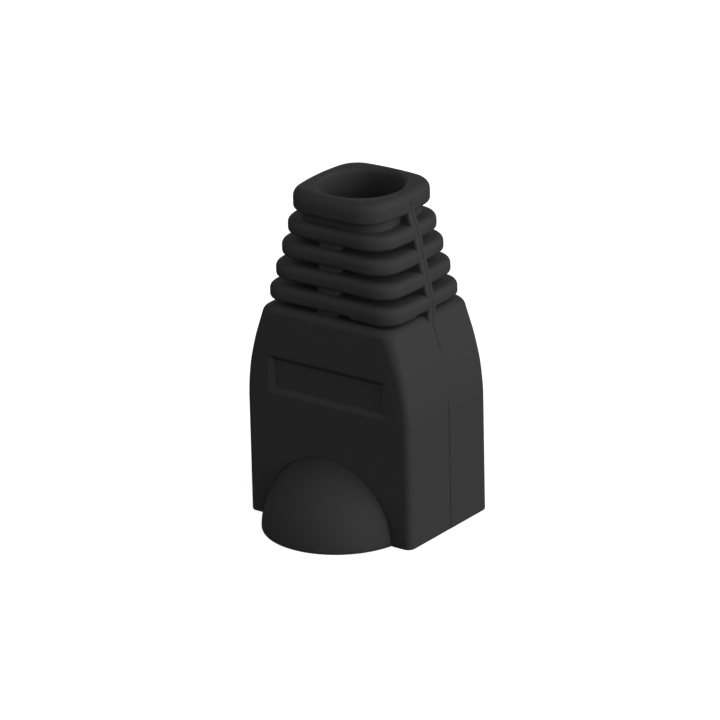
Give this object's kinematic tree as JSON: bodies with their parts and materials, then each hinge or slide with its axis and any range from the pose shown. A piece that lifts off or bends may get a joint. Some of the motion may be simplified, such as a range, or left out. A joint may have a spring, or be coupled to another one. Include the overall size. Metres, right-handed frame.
{
  "type": "rj45 strain relief boot",
  "caption": "Hollow tapered boot for a modular plug, with a latch bubble on its front, a blank recessed panel and a neck of flexible rings around the cable.",
  "frame": {"origin": "centre of the cable bore's axis on the plane of the open mouth", "axes": "+Z along the cable from the mouth to the neck, -Y towards the latch bubble, X across the width"},
  "size_m": [0.014, 0.0136, 0.0244],
  "materials": {
    "pvc_black": "matte"
  },
  "bodies": {
    "root": {"boot": "pvc_black"}
  },
  "joints": []
}
